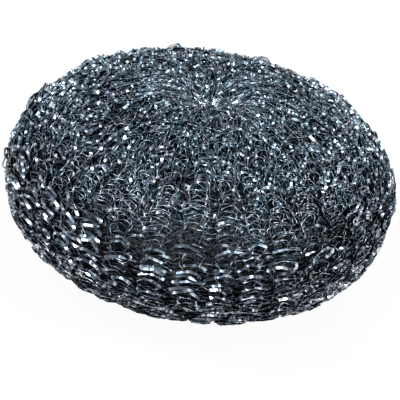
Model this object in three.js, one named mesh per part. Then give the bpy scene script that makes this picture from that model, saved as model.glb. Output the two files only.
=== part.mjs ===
// Steel scrubber: a tube knitted from flat steel ribbon, rolled in on itself and drawn
// together at the crown and the underside into a thick round pad that stands on a flat foot.
// The solid is the outside of the pad. Each wale, a column of stitches, is a ridge that runs
// from gather to gather, and each course of stitches crosses it as an arch that points up.
import * as THREE from "three";
import { ParametricGeometry } from "three/addons/geometries/ParametricGeometry.js";

// The pad, in millimetres
const padDiameter = 85;
const padHeight = 44; // foot to crown, before the gather draws the middle of the crown down
const fullness = 2.2; // 2 gives an elliptical side, more gives a squarer one

// The gathers where the ends of the tube are drawn together
const gatherDiameter = 20;
const crownGatherDepth = 4.5;
const footGatherDepth = 2.5;
const footRingWidth = 8; // flat ring round the lower gather, on which the pad stands

// The knit
const waleCount = 38;
const courseCount = 24;
const waleRelief = 2.2; // ridge over groove, at the widest ring
const courseRelief = 0.9; // arch over the gap under it
const archRise = 2.4; // top of an arch over its ends, at the widest ring

// The steps in which the surface is drawn
const columnsPerWale = 3; // a groove and the two corners of the arch
const footGatherRows = 3;
const profileSteps = 1000;

const ribbonColour = 0x4b535c;
const ribbonRoughness = 0.35;
const ribbonMetalness = 0.9;

const padRadius = padDiameter / 2;
const gatherRadius = gatherDiameter / 2;
const footRadius = gatherRadius + footRingWidth;
const footDrop = (1 - (footRadius / padRadius) ** fullness) ** (1 / fullness);
const semiHeight = padHeight / (1 + footDrop);
const widestHeight = padHeight - semiHeight;

// How much of a gather's depth is left at a radius: all at its middle, none from its rim on
const gatherShare = (radius) => Math.max(0, 1 - (radius / gatherRadius) ** 2) ** 2;

// The pad's side, from the middle of the crown to the edge of the foot, as radius and height
class SideProfile extends THREE.Curve {
  getPoint(t, target = new THREE.Vector2()) {
    const footAngle = Math.PI - Math.asin((footRadius / padRadius) ** (fullness / 2));
    const across = Math.sin(t * footAngle);
    const up = Math.cos(t * footAngle);
    const radius = padRadius * across ** (2 / fullness);
    const height = widestHeight + semiHeight * Math.sign(up) * Math.abs(up) ** (2 / fullness);
    const drawnDown = up > 0 ? crownGatherDepth * gatherShare(radius) : 0;
    return target.set(radius, height - drawnDown);
  }
}

const side = new SideProfile();
side.arcLengthDivisions = profileSteps;
const sideLength = side.getLength();

// Each course has a row of points along its arches and a row along the gap under them
const sideRows = 2 * courseCount;
const rowCount = sideRows + 1 + footGatherRows;
const columnCount = waleCount * columnsPerWale;

// A point of the side, moved up along it and in from it by the stitch that it belongs to
function sidePoint(row, onArch) {
  const share = row / sideRows;
  const spread = side.getPointAt(share).x / padRadius;
  const atEnd = row === 0 || row === sideRows;
  const rise = onArch && !atEnd ? archRise * spread : 0;
  const gap = row % 2 === 0 ? courseRelief * Math.sqrt(spread) : 0;
  const groove = onArch ? 0 : waleRelief * spread;
  const moved = share - rise / sideLength;
  const along = side.getTangentAt(moved);
  const inward = new THREE.Vector2(along.y, -along.x);
  return side.getPointAt(moved).addScaledVector(inward, atEnd ? 0 : gap + groove);
}

// A point of the underside: the flat ring, then the gather inside it
function footPoint(row) {
  const radius = gatherRadius * (1 - (row - sideRows - 1) / footGatherRows);
  return new THREE.Vector2(radius, footGatherDepth * gatherShare(radius));
}

// The whole skin, with its rows counted from the crown down and drawn from the underside up
function padSurface(u, v, target) {
  const column = Math.round(u * columnCount);
  const row = rowCount - Math.round(v * rowCount);
  const onArch = column % columnsPerWale !== 0;
  const point = row <= sideRows ? sidePoint(row, onArch) : footPoint(row);
  const turn = ((column % columnCount) / columnCount) * 2 * Math.PI;
  target.set(point.x * Math.cos(turn), point.x * Math.sin(turn), point.y);
}

const steelRibbon = new THREE.MeshStandardMaterial({
  name: "steel_ribbon",
  color: ribbonColour,
  roughness: ribbonRoughness,
  metalness: ribbonMetalness,
});

const pad = new THREE.Mesh(new ParametricGeometry(padSurface, columnCount, rowCount), steelRibbon);
pad.name = "knitted_scrubber";

const scrubber = new THREE.Group();
scrubber.name = "scrubber";
scrubber.add(pad);

export default scrubber;
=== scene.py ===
import bisect
import math
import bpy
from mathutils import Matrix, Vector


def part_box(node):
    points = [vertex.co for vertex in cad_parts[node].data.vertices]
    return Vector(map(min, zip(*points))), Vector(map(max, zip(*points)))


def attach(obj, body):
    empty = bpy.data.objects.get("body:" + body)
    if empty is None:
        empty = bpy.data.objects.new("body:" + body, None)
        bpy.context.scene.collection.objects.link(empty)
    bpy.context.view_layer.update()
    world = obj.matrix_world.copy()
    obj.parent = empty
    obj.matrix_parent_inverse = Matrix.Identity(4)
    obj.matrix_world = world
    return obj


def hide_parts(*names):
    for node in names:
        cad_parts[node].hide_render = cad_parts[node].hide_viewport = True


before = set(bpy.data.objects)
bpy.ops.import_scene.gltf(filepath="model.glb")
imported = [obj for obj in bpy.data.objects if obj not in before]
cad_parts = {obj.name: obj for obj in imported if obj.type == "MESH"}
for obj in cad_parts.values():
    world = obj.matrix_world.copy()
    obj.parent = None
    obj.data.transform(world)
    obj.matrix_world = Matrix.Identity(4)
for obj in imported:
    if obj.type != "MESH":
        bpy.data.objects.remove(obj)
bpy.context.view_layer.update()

from types import SimpleNamespace

import bmesh
import bpy
from mathutils import Matrix, Vector, noise

# Outer turn of the knit
# One long ribbon of bright flat steel, knitted round and round into a tube of stitches. The tube
# is rolled in on itself and gathered at the crown and the underside, so the wales of stitches run
# from gather to gather, and each stitch shows as an arch that points up with its ribbon on edge.
low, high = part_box("knitted_scrubber")
pad_radius = (high[0] - low[0]) / 2
pad_height = 0.044
fullness = 2.2  # 2 gives an elliptical side, more gives a squarer one
gather_radius = 0.010
crown_gather_depth = 0.0045
foot_gather_depth = 0.0025
foot_radius = 0.018
profile_steps = 600


def gathered(radius):
    """How much of a gather's depth is left at a radius: all at its middle, none from its rim on."""
    return max(0.0, 1 - (radius / gather_radius) ** 2) ** 2


def pad_profile():
    """Points down the pad's skin from crown to foot: length so far, radius and height."""
    foot_drop = (1 - (foot_radius / pad_radius) ** fullness) ** (1 / fullness)
    semi_height = pad_height / (1 + foot_drop)
    points = []
    length = 0.0
    for step in range(profile_steps + 1):
        across = math.sin(math.pi * step / profile_steps)
        up = math.cos(math.pi * step / profile_steps)
        radius = pad_radius * max(across, 0.0) ** (2 / fullness)
        rise = math.copysign(semi_height * abs(up) ** (2 / fullness), up)
        height = pad_height - semi_height + rise
        if up > 0:
            height -= crown_gather_depth * gathered(radius)
        else:
            height = max(height, foot_gather_depth * gathered(radius))
        if points:
            length += math.hypot(radius - points[-1][1], height - points[-1][2])
        points.append((length, radius, height))
    return points


profile = pad_profile()
profile_lengths = [point[0] for point in profile]
skin_length = profile_lengths[-1]


def skin_at(length):
    """The pad's skin at a length from the crown's middle: its radius and height, and how fast the
    radius and the height change down the skin."""
    step = min(max(bisect.bisect(profile_lengths, length), 1), len(profile) - 1)
    before, after = profile[step - 1], profile[step]
    run = after[0] - before[0]
    share = min(max((length - before[0]) / run, 0.0), 1.0)
    radius = before[1] + share * (after[1] - before[1])
    height = before[2] + share * (after[2] - before[2])
    return radius, height, (after[1] - before[1]) / run, (after[2] - before[2]) / run


def between(value, start, end):
    """0 up to start, 1 from end on, and a smooth step between them."""
    share = min(max((value - start) / (end - start), 0.0), 1.0)
    return share * share * (3 - 2 * share)


wales = 38
first_course = 0.003  # length down the skin from the crown's middle
last_course_margin = 0.004  # length left bare at the middle of the underside
course_gap = 0.00080
wider_on_wall = 0.00045
wider_on_crown = 0.00035
wider_below_wall = 0.0003
wider_under_foot = 0.0011
crown_radii = (0.038, 0.024)  # where the crown begins and where it is fully reached


def course_places():
    """Lengths down the skin at which the courses of stitches lie, wider apart on the underside."""
    places = [first_course]
    while places[-1] < skin_length - last_course_margin:
        radius, height, outward, down = skin_at(places[-1])
        gap = course_gap + wider_on_wall * between(-down, 0.70, 0.95)
        gap += wider_on_crown * between(radius, *crown_radii) * between(outward, 0.0, 0.5)
        gap += wider_below_wall * between(-outward, 0.2, 0.6)
        gap += wider_under_foot * between(-outward, 0.88, 0.98)
        places.append(places[-1] + gap)
    return places


courses = course_places()

# The other zones of the pad, each as where it begins and where it is fully reached
wall_steepness = (0.6, 0.9)
level_top = (0.80, 0.96)
gather_radii = (0.015, 0.009)
slack_radii = (0.023, 0.013)
under_heights = (0.0205, 0.0115)
fringe_heights = (0.017, 0.006)
crushed_heading = -0.40  # the side that a hand has crushed, as an angle round the pad
crushed_reach = (0.69, 0.83)  # cosines of the angle from that heading
crushed_lift = 0.006  # how much higher the tangle of the underside reaches on that side

course_shift = 0.5  # each turn of the tube lies this share of a course below the turn over it
head_stretch = 0.35  # how much more ribbon a stitch's head takes than its legs
arch_spread = 0.13  # how far the loop swells past its own width, in wales
arch_spread_on_wall = 0.07


def spot_in_knit(stitch, tube_turn):
    """Where a number of stitches along the ribbon comes to lie: its place on the skin, its share in
    each zone of the pad, and how far round its own loop it is."""
    spot = SimpleNamespace(stitch=stitch, tube_turn=tube_turn)
    course = min(int(stitch / wales), len(courses) - 2)
    share = stitch / wales - course
    gap = courses[course + 1] - courses[course]
    spot.length = courses[course] + (share + course_shift * tube_turn) * gap
    spot.radius, spot.height, spot.outward, spot.down = skin_at(spot.length)
    spot.heading = 2 * math.pi * (stitch + 0.5) / wales
    spot.pitch = 2 * math.pi * spot.radius / wales

    spot.wall = between(-spot.down, *wall_steepness)
    spot.crown = between(spot.radius, *crown_radii)
    spot.drawn = between(spot.radius, *gather_radii)
    spot.flat = between(spot.outward, *level_top)
    spot.crushed_side = between(math.cos(spot.heading - crushed_heading), *crushed_reach)
    spot.crushed = spot.wall * spot.crushed_side
    rolled_under = between(spot.height - crushed_lift * spot.crushed, *under_heights)
    spot.under = rolled_under * (1 - spot.flat)
    slack = max(between(spot.radius, *slack_radii), 0.6 * spot.crushed_side)
    spot.loose = (0.30 + 0.60 * slack) * (1 - 0.3 * spot.drawn)

    offset = stitch - round(stitch)
    spot.eased = head_stretch * math.sin(2 * math.pi * offset)
    spot.phase = 2 * math.pi * offset - spot.eased
    spot.head = between(math.cos(spot.phase), -0.5, 0.6)
    spot.spread = arch_spread + arch_spread_on_wall * spot.wall
    swell = spot.spread * math.sin(2 * spot.phase)
    spot.sideways = abs(offset - spot.eased / (2 * math.pi) + swell)
    return spot


# Each way in which a stitch strays from its neighbours, and how often that changes in a stitch.
# Every way has a line of its own through the noise, and so has every turn of the tube.
stray_rates = {
    "arch_width": 0.83, "slide": 0.83, "loop_length": 0.83, "slip": 0.83, "sink": 0.83,
    "twist": 4.1, "skew": 0.83, "hang": 0.7, "wave_across": 4.3, "wave_along": 4.3,
    "leg_slip": 1.9, "gather_lean": 0.83, "tilt": 0.83, "tucked_lean": 2.6, "tucked": 0.9,
    "tucked_under": 2.4, "bent_back": 1.3, "tangle_sheen": 5.3, "stand_out": 2.3, "gather_sheen": 1.6,
}
stray_line_gap = 7.3
tube_turn_gap = 3.1
stray_lines = {way: line * stray_line_gap for line, way in enumerate(stray_rates, start=1)}


def stray(spot, way):
    """How far a stitch strays in one way, from about -0.5 to 0.5."""
    along_line = spot.stitch * stray_rates[way]
    return noise.noise(Vector((along_line, stray_lines[way], spot.tube_turn * tube_turn_gap)))


loop_half_length = 0.0017
longer_on_top = 0.0004
longer_in_gather = 0.0009
least_arch_width = 0.0006
slip = 0.0020
leg_slip = 0.0026
tilt = 0.0012
slide = 0.0008
slide_when_loose = 0.0030
wave_when_loose = 0.0005
wave_under = 0.0012
wander = 0.0026  # how far whole wales wander sideways
wander_rate = 55
head_end = 0.924  # end of the straight head of a stitch on the wall, as an angle round the loop
head_fall = 1.32  # how much that head falls towards its ends, in half loops for each wale
head_rounding = 0.04  # rounding of its middle, in wales


def loop_path(spot):
    """How far its loop takes the ribbon from its course: round the pad, and down the skin."""
    wave = wave_when_loose * spot.loose + wave_under * spot.under
    longer = stray(spot, "loop_length")
    half_length = loop_half_length + longer_on_top * spot.flat + longer_in_gather * spot.drawn
    half_length *= 1 + 0.8 * longer
    half_length *= 1 + 3.0 * spot.crown * max(longer - 0.2, 0.0)
    swing = math.cos(spot.phase)
    if abs(spot.phase) < head_end:
        fall = head_fall * (math.hypot(spot.sideways, head_rounding) - head_rounding)
        straight = between(-spot.down, 0.80, 0.95) * (1 - spot.crushed)
        swing += straight * (1 - fall - swing)
    along = -half_length * swing + slip * spot.loose * stray(spot, "slip")
    along += wave * stray(spot, "wave_along")
    leg = between(-math.cos(spot.phase), -0.2, 0.6)
    along += leg_slip * stray(spot, "leg_slip") * leg * (1 - 0.6 * spot.under)
    along += tilt * spot.wall * stray(spot, "tilt") * math.sin(spot.phase)

    wider = 1 + (1.2 - 0.6 * spot.wall) * stray(spot, "arch_width")
    around = max(spot.spread * spot.pitch, least_arch_width) * math.sin(2 * spot.phase) * wider
    around += (slide + slide_when_loose * spot.loose) * stray(spot, "slide")
    around += wave * stray(spot, "wave_across")
    x, y = spot.radius * math.cos(spot.heading), spot.radius * math.sin(spot.heading)
    wandered = noise.noise(Vector((x, y, spot.height)) * wander_rate)
    around += wander * wandered * (1 - 0.5 * spot.crown)
    around -= spot.eased / (2 * math.pi) * spot.pitch
    around += along * (0.5 + 1.0 * spot.loose) * stray(spot, "skew")
    return around, along


skin_clearance = 0.0004
leg_depth = 0.10  # how far the legs lie behind the heads, in wales
leg_depth_on_wall = 0.14
turn_depth = 0.0005
sink = 0.0004
sink_when_loose = 0.0009
stand_out = 0.0017
stand_out_from = 0.18  # only the loops that stray further than this stand out


def loop_depth(spot):
    """How far the ribbon lies inside the skin, with its legs behind its head and a few loops out."""
    swing = math.cos(spot.phase)
    inward = leg_depth * (1 - spot.wall) * spot.pitch * (1 - swing) + skin_clearance
    inward += leg_depth_on_wall * spot.wall * spot.pitch * between(-swing, -0.55, 1.0)
    sunk = (sink + sink_when_loose * spot.loose) * (1 - 0.7 * spot.under)
    inward += sunk * stray(spot, "sink")
    inward += turn_depth * spot.tube_turn * (1 + 0.4 * spot.wall)
    if spot.tube_turn == 0:
        standing = max(stray(spot, "stand_out") - stand_out_from, 0.0)
        inward -= stand_out * standing * (1 - spot.under) * (1 - spot.drawn)
    return inward


upper_wall = (0.84, 0.92)  # steepness at which heads begin to hang, and at which all do
lower_wall = (0.3, 0.6)
hang_shares = (1.0, 0.3, 0.1)  # how freely the heads hang in each turn of the tube
hang_angle = 42  # in degrees, as are the angles below
hang_sway = 42
shingle_angle = 50
twist_angle = 50
twist_more_on_top = 40
kink_angle = 350  # for the few places where the ribbon is twisted hard
kink_more_on_top = 100
gather_angle = 55
gather_sway = 120
tucked_angle = -62
tucked_sway = 210


def ribbon_lean(spot):
    """How far the ribbon leans from standing on edge, as an angle about its own length: heads hang
    flat on the wall and lie like shingles on the crown, and the tangle low down is tucked away."""
    chance = stray(spot, "tucked") * (1 - spot.under) + stray(spot, "tucked_under") * spot.under
    tucked = between(0.8 * spot.under + 1.4 * chance, 0.35, 0.65)
    steep = between(-spot.down, *(upper_wall if spot.outward > 0 else lower_wall))
    bent_back = spot.crushed * between(stray(spot, "bent_back"), -0.12, 0.08)
    hang = steep * spot.head * (1 - tucked) * (1 - bent_back) * hang_shares[spot.tube_turn]
    hanging = math.radians(hang_angle + hang_sway * stray(spot, "hang"))
    lean = (hanging + math.atan2(spot.outward, -spot.down)) * hang
    shingle = between(spot.outward, 0.60, 0.92) * between(abs(math.cos(spot.phase)), 0.2, 0.8)
    lean += math.radians(shingle_angle) * shingle * (1 - spot.drawn)
    twist = stray(spot, "twist")
    twisted = (twist_angle + twist_more_on_top * spot.flat) * twist
    twisted += (kink_angle + kink_more_on_top * spot.flat) * twist ** 3
    lean += math.radians(twisted) * (1 - 0.85 * hang) * (1 - 0.5 * spot.wall)
    lean += math.radians(gather_angle + gather_sway * stray(spot, "gather_lean")) * spot.drawn
    lean += math.radians(tucked_angle + tucked_sway * stray(spot, "tucked_lean")) * tucked
    return lean


# Painted sheen and shade added to the ribbon's tint by where it lies: above 0 it brings the tint
# nearer its painted glints, below 0 it darkens it as painted shade, as on the wall's heads, the top
# and the fringe low down.
head_sheen = 0.015
head_sheen_on_wall = -0.055
top_sheen = -0.080
shoulder_sheen = -0.03
under_sheen = 0.04
fringe_sheen = -0.14
gather_sheen = -0.055
gather_sheen_spread = 0.75
tangle_sheen_spread = 0.45


def ribbon_painted_sheen(spot, height):
    """How much painted sheen brightens the ribbon's tint, with values below 0 darkening it as painted
    shade.
    """
    heads = head_sheen + (head_sheen_on_wall - head_sheen) * spot.wall
    painted_sheen = heads * spot.head * (1 - spot.flat) + top_sheen * spot.flat
    painted_sheen += shoulder_sheen * (1 - spot.wall) * (1 - spot.flat)
    # Painted shade darkens the fringe low down, where the steel would mirror the pad's own shadow on
    # the paper.
    painted_sheen += (under_sheen + fringe_sheen * between(height, *fringe_heights)) * spot.under
    painted_sheen += (gather_sheen + gather_sheen_spread * stray(spot, "gather_sheen")) * spot.drawn
    tangle = max(spot.under, 0.6 * spot.crushed)
    painted_sheen += tangle_sheen_spread * stray(spot, "tangle_sheen") * tangle
    return painted_sheen


wale_shifts = (0.5, 0.56, 0.75)  # where the wales of each turn of the tube lie
unevenness = 0.0007
uneven_more_on_crown = 0.0002
unevenness_rate = 130
least_turning_radius = 0.004
shade_more_on_crown = 0.25
shade_more_on_wall = 0.4
shade_shift = -0.0001
shade_shift_on_crown = 0.0001
shade_shift_of_turn = 0.0002
shine_rate = 700  # changes of tint for each metre of ribbon
shine_rate_on_wall = 450


def ribbon_point(stitch, tube_turn):
    """The ribbon at a number of stitches along it: its centre, the skin's outward direction, its
    lean from that, how deep in painted shade it is, how often its tint changes and its painted sheen."""
    spot = spot_in_knit(stitch, tube_turn)
    around, along = loop_path(spot)
    radius, height, outward, down = skin_at(spot.length + along)
    angle = 2 * math.pi * ((stitch + wale_shifts[tube_turn]) / wales)
    angle += around / max(radius, least_turning_radius)
    normal = Vector((-down * math.cos(angle), -down * math.sin(angle), outward))
    centre = Vector((radius * math.cos(angle), radius * math.sin(angle), height))
    dents = (unevenness + uneven_more_on_crown * spot.crown) * (1 - 0.4 * spot.under)
    inward = loop_depth(spot) + dents * noise.noise(centre * unevenness_rate)
    # Painted shade grows with the ribbon's depth, and more on the crown, the wall and the inner turns.
    more_shade = shade_more_on_crown * spot.crown + shade_more_on_wall * spot.wall * (1 - spot.under)
    shaded = inward * (1 + more_shade) + shade_shift
    shaded += shade_shift_on_crown * spot.crown + shade_shift_of_turn * tube_turn
    fine = max(between(outward, 0.94, 0.995), spot.crushed_side * between(outward, 0.6, 0.8))
    rate = shine_rate * (1 + fine * (1 - 0.7 * spot.drawn) + spot.under)
    ordered_wall = spot.wall * (1 - spot.under) * (1 - spot.crushed_side)
    rate -= (shine_rate - shine_rate_on_wall) * ordered_wall
    return SimpleNamespace(
        centre=centre - normal * inward, normal=normal, lean=ribbon_lean(spot), shaded=shaded,
        shine_rate=rate, painted_sheen=ribbon_painted_sheen(spot, height),
    )


ribbon_width = 0.00054
ribbon_thickness = 0.00008
floor_clearance = 0.0002
turn_run_gap = 500.0  # how far apart the tints of the tube's turns start


def knit_ribbon(name, first_stitch, stitches, bends, tube_turn):
    """A flat ribbon of so many stitches, as a strip bent along its centre line and given its gauge."""
    steps = stitches * len(bends)
    points = [
        ribbon_point(first_stitch + step // len(bends) + bends[step % len(bends)], tube_turn)
        for step in range(steps + 1)
    ]
    mesh = bmesh.new()
    bmesh.ops.create_grid(mesh, x_segments=steps, y_segments=1, size=0.5)
    painted_shade_depth = mesh.verts.layers.float.new("painted_shade_depth")
    outer = mesh.verts.layers.float.new("outer")
    run = mesh.verts.layers.float.new("run")
    painted_sheen = mesh.verts.layers.float.new("painted_sheen")
    runs = [turn_run_gap * tube_turn]
    for before, after in zip(points, points[1:]):
        runs.append(runs[-1] + (after.centre - before.centre).length * after.shine_rate)
    for place, vert in enumerate(mesh.verts):
        step = place % (steps + 1)
        point = points[step]
        along = points[min(step + 1, steps)].centre - points[max(step - 1, 0)].centre
        along.normalize()
        upright = (point.normal - along * point.normal.dot(along)).normalized()
        across = upright * math.cos(point.lean) + along.cross(upright) * math.sin(point.lean)
        side = math.copysign(ribbon_width / 2, vert.co.y)
        vert.co = point.centre + across * side
        vert.co.z = max(vert.co.z, floor_clearance)
        vert[run] = runs[step]
        vert[painted_sheen] = point.painted_sheen
        vert[outer] = 1.0 if side > 0 else 0.0
        # Painted shade depth: this edge of the ribbon's depth, so the outer edge lies highest and
        # paints lighter.
        vert[painted_shade_depth] = point.shaded - across.dot(point.normal) * side
    for edge in mesh.edges:
        edge.smooth = not edge.is_boundary
    for face in mesh.faces:
        face.smooth = True
    data = bpy.data.meshes.new(name)
    mesh.to_mesh(data)
    mesh.free()
    piece = bpy.data.objects.new(name, data)
    bpy.context.scene.collection.objects.link(piece)
    gauge = piece.modifiers.new("gauge", "SOLIDIFY")
    gauge.thickness = ribbon_thickness
    gauge.offset = 0.0
    return piece


def add_node(tree, kind, values=None, feeds=None, **settings):
    """A new node with its settings, its sockets' values and the outputs that feed its sockets."""
    node = tree.nodes.new(kind)
    for setting, choice in settings.items():
        setattr(node, setting, choice)
    for socket, value in (values or {}).items():
        node.inputs[socket].default_value = value
    for socket, output in (feeds or {}).items():
        tree.links.new(output, node.inputs[socket])
    return node


def attribute(tree, name):
    return add_node(tree, "ShaderNodeAttribute", attribute_name=name).outputs["Fac"]


def object_noise(tree, where, scale, detail, distortion=0.0):
    values = {"Scale": scale, "Detail": detail, "Distortion": distortion}
    return add_node(tree, "ShaderNodeTexNoise", values, {"Vector": where}).outputs["Fac"]


def total(tree, first, second):
    return add_node(tree, "ShaderNodeMath", feeds={0: first, 1: second}).outputs[0]


def ranged(tree, value, to_start, to_end, from_start=0.0, from_end=1.0):
    """A value carried over from one range to another, and held at that range's ends."""
    ends = {"From Min": from_start, "From Max": from_end, "To Min": to_start, "To Max": to_end}
    return add_node(tree, "ShaderNodeMapRange", ends, {"Value": value}).outputs["Result"]


def toned(tree, value, stops):
    """A value turned into a colour by stops of position and colour, in rising order."""
    node = add_node(tree, "ShaderNodeValToRGB", feeds={"Fac": value})
    tones = node.color_ramp.elements
    first, *inner, last = stops
    tones[0].position, tones[0].color = first
    tones[1].position, tones[1].color = last
    for position, colour in inner:
        tones.new(position).color = colour
    return node.outputs["Color"]


def multiplied(tree, first, second):
    node = add_node(
        tree, "ShaderNodeMix", {"Factor": 1.0}, {"A": first, "B": second},
        data_type="RGBA", blend_type="MULTIPLY",
    )
    return node.outputs["Result"]


def bumped(tree, height, strength, distance):
    values = {"Strength": strength, "Distance": distance}
    return add_node(tree, "ShaderNodeBump", values, {"Height": height}).outputs["Normal"]


# The ribbon's finish: bright steel with dull stretches and painted glints along it, a painted
# highlight on its outer edge, faint warm and cold stains, and painted shade the deeper it lies
steel = bpy.data.materials.new("steel_ribbon")
steel.use_nodes = True
tree = steel.node_tree
shader = tree.nodes["Principled BSDF"]
shader.inputs["Metallic"].default_value = 1.0
where = add_node(tree, "ShaderNodeTexCoord").outputs["Object"]
stretches = add_node(
    tree, "ShaderNodeTexNoise", noise_dimensions="1D",
    feeds={"W": attribute(tree, "run")}, values={"Scale": 1.0, "Detail": 2.0},
).outputs["Fac"]
crumple = object_noise(tree, where, scale=1300.0, detail=1.0)
streaks = total(tree, stretches, attribute(tree, "painted_sheen"))
streaks = total(tree, streaks, ranged(tree, crumple, to_start=-0.12, to_end=0.12))
# The tint runs from dark to blue-grey steel along the ribbon, and its near-white top stops are painted
# glints.
tint = toned(tree, streaks, (
    (0.35, (0.044, 0.060, 0.079, 1)),
    (0.51, (0.142, 0.184, 0.229, 1)),
    (0.64, (0.52, 0.60, 0.66, 1)),
    (0.72, (0.92, 0.95, 0.97, 1)),
))
height = add_node(tree, "ShaderNodeSeparateXYZ", feeds={"Vector": where}).outputs["Z"]
warmer_low_down = ranged(
    tree, height, to_start=-0.3, to_end=0.0, from_start=0.010, from_end=0.034
)
blotches = object_noise(tree, where, scale=420.0, detail=1.0)
stain = toned(tree, total(tree, blotches, warmer_low_down), (
    (0.35, (1.0, 0.945, 0.945, 1)),
    (0.65, (0.91, 1.0, 1.0, 1)),
))
# Painted shade: the deeper the ribbon lies under the skin, the darker its colour.
shade = ranged(
    tree, attribute(tree, "painted_shade_depth"), to_start=1.25, to_end=0.48, from_start=0.0001, from_end=0.0017
)
outer_edge = attribute(tree, "outer")
# A painted highlight along the ribbon's outer edge, brighter than the rest of its face.
painted_edge_highlight = ranged(tree, outer_edge, to_start=1.0, to_end=1.4, from_start=0.75, from_end=1.0)
colour = multiplied(tree, multiplied(tree, tint, stain), shade)
tree.links.new(multiplied(tree, colour, painted_edge_highlight), shader.inputs["Base Color"])
polish = ranged(tree, stretches, to_start=0.06, to_end=0.22)
dull_rim = ranged(tree, outer_edge, to_start=0.0, to_end=0.40, from_start=0.90, from_end=1.0)
tree.links.new(total(tree, polish, dull_rim), shader.inputs["Roughness"])
dents = bumped(tree, crumple, strength=0.12, distance=0.0001)
tree.links.new(dents, shader.inputs["Normal"])


def finish_knit(piece):
    piece.data.materials.append(steel)
    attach(piece, "root")
    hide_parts("knitted_scrubber")


def even_bends(count):
    return [bend / count - 0.5 for bend in range(count)]


# The ribbon in three bands, each with the places in a stitch at which it is bent. The heads that
# show on the wall are bent most often, at their middles and their corners.
half_head = (0.015, 0.035, 0.18, 0.205, 0.24, 0.285, 0.34, 0.42)
head_bends = [-0.5] + [-place for place in reversed(half_head)] + list(half_head)
crown_end = next(course for course, place in enumerate(courses) if skin_at(place)[3] < -0.5)
foot_start = next(course for course, place in enumerate(courses) if skin_at(place)[2] < -0.6)
bands = (
    ("crown", 0, crown_end, even_bends(11)),
    ("wall", crown_end, foot_start, head_bends),
    ("foot", foot_start, len(courses) - 1, even_bends(7)),
)
for band, first, last, bends in bands:
    finish_knit(knit_ribbon(f"outer_{band}", first * wales, (last - first) * wales, bends, 0))

# Turns rolled up under it
# The same tube carries on inside the pad, so the gaps between the outer stitches show the arches
# of the turns below, one under another, until shadow and painted shade swallow them.
for turn_number in (1, 2):
    for band, first, last, bends in bands:
        if band == "wall":
            bends = even_bends(13)
        name = f"turn_{turn_number}_{band}"
        stitches = (last - first) * wales
        finish_knit(knit_ribbon(name, first * wales, stitches, bends, turn_number))

# Packed middle
# The innermost turns of the tube are crushed together into a mass with no gaps to see
# through, a smaller copy of the pad's own form, coloured dark as painted deep shade.
middle_depth = 0.0034
middle_rings = 40
middle_sides = 72
mesh = bmesh.new()
rim = []
for ring in range(middle_rings + 1):
    radius, height, outward, down = skin_at(skin_length * ring / middle_rings)
    middle_radius = max(radius + down * middle_depth, 0.0)
    rim.append(mesh.verts.new((middle_radius, 0, height - outward * middle_depth)))
for upper, lower in zip(rim, rim[1:]):
    mesh.edges.new((upper, lower))
bmesh.ops.spin(
    mesh, geom=mesh.verts[:] + mesh.edges[:], cent=(0, 0, 0), axis=(0, 0, 1),
    angle=2 * math.pi, steps=middle_sides, use_merge=True,
)
bmesh.ops.remove_doubles(mesh, verts=mesh.verts, dist=1e-5)
bmesh.ops.recalc_face_normals(mesh, faces=mesh.faces)
for face in mesh.faces:
    face.smooth = True
data = bpy.data.meshes.new("packed_middle")
mesh.to_mesh(data)
mesh.free()
middle = bpy.data.objects.new("packed_middle", data)
bpy.context.scene.collection.objects.link(middle)
packed = bpy.data.materials.new("packed_steel")
packed.use_nodes = True
tree = packed.node_tree
shader = tree.nodes["Principled BSDF"]
shader.inputs["Metallic"].default_value = 1.0
shader.inputs["Roughness"].default_value = 0.45
where = add_node(tree, "ShaderNodeTexCoord").outputs["Object"]
ridges = object_noise(tree, where, scale=1100.0, detail=2.0, distortion=1.5)
# Painted deep shade: the packed steel is coloured far darker than the ribbon.
deep_shade_tint = toned(tree, ridges, (
    (0.42, (0.080, 0.076, 0.074, 1)),
    (0.68, (0.21, 0.235, 0.26, 1)),
))
tree.links.new(deep_shade_tint, shader.inputs["Base Color"])
dents = bumped(tree, ridges, strength=0.8, distance=0.0004)
tree.links.new(dents, shader.inputs["Normal"])
middle.data.materials.append(packed)
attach(middle, "root")
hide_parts("knitted_scrubber")

# Floor
# A wide sheet of white paper that the pad lies on. The camera and the steel see it as an almost
# pure white, and what is left of its own surface keeps the pad's soft shadow.
floor_reach = 3.0
paper_glow = 0.96
mesh = bmesh.new()
bmesh.ops.create_grid(mesh, x_segments=1, y_segments=1, size=floor_reach)
data = bpy.data.meshes.new("floor")
mesh.to_mesh(data)
mesh.free()
floor = bpy.data.objects.new("floor", data)
bpy.context.scene.collection.objects.link(floor)


def seen_or_mirrored(tree):
    """1 for what is seen straight, in a mirror or through glass, and 0 for the light that it sheds."""
    rays = add_node(tree, "ShaderNodeLightPath").outputs
    seen = rays["Is Camera Ray"]
    for mirrored in (rays["Is Glossy Ray"], rays["Is Transmission Ray"]):
        either = {0: seen, 1: mirrored}
        seen = add_node(tree, "ShaderNodeMath", feeds=either, operation="MAXIMUM").outputs[0]
    return seen


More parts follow.
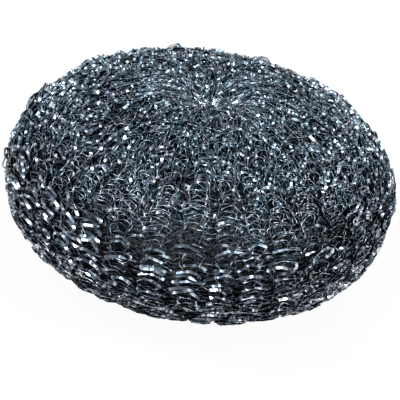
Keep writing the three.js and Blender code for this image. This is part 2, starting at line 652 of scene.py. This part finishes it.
paper = bpy.data.materials.new("white_paper")
paper.use_nodes = True
tree = paper.node_tree
tree.nodes.clear()
matt = add_node(tree, "ShaderNodeBsdfDiffuse", {"Color": (0.9, 0.9, 0.9, 1)}).outputs[0]
glow = add_node(tree, "ShaderNodeEmission", {"Strength": 1.0}).outputs[0]
glow_share = ranged(tree, seen_or_mirrored(tree), to_start=0.0, to_end=paper_glow)
sheet = add_node(tree, "ShaderNodeMixShader", feeds={"Fac": glow_share, 1: matt, 2: glow})
add_node(tree, "ShaderNodeOutputMaterial", feeds={"Surface": sheet.outputs[0]})
floor.data.materials.append(paper)

# Light
# A plain white studio: white walls that the steel mirrors at full strength but that shed little
# light, and four soft square lamps round the pad, all turned to its middle.
wall_light = 0.2
world = bpy.data.worlds.new("studio")
bpy.context.scene.world = world
world.use_nodes = True
tree = world.node_tree
walls = tree.nodes["Background"]
walls.inputs["Color"].default_value = (1, 1, 1, 1)
wall_level = ranged(tree, seen_or_mirrored(tree), to_start=wall_light, to_end=1.0)
tree.links.new(wall_level, walls.inputs["Strength"])
pad_middle = Vector((0, 0, 0.02))
lamps = (
    ("key", (-0.42, -0.14, 0.45), 0.20, 1.75),
    ("front", (-0.08, -0.29, 0.52), 0.20, 1.6),
    ("top", (0.08, 0.20, 0.54), 0.23, 1.0),
    ("right", (0.40, -0.22, 0.40), 0.25, 1.45),
)
for name, place, size, power in lamps:
    light = bpy.data.lights.new(name, "AREA")
    light.size = size
    light.energy = power
    holder = bpy.data.objects.new(name, light)
    holder.location = place
    holder.rotation_euler = (pad_middle - Vector(place)).to_track_quat("-Z", "Y").to_euler()
    bpy.context.scene.collection.objects.link(holder)

# Camera
# A long lens that looks down on the pad from 30 degrees above the floor, and that is rolled a
# little, because the pad lies at a slant in the photo.
elevation = math.radians(30.0)
roll = math.radians(8.1)
distance = 0.435
aim = Vector((0.00065, 0, 0.0163))
camera = bpy.data.cameras.new("camera")
camera.lens = 180.0
camera.sensor_width = 36.0
holder = bpy.data.objects.new("camera", camera)
away = Vector((0, -math.cos(elevation), math.sin(elevation)))
holder.location = aim + away * distance
facing = (-away).to_track_quat("-Z", "Y").to_matrix().to_4x4()
holder.rotation_euler = (facing @ Matrix.Rotation(roll, 4, "Z")).to_euler()
bpy.context.scene.collection.objects.link(holder)
bpy.context.scene.camera = holder

bpy.context.scene.view_settings.view_transform = "Standard"
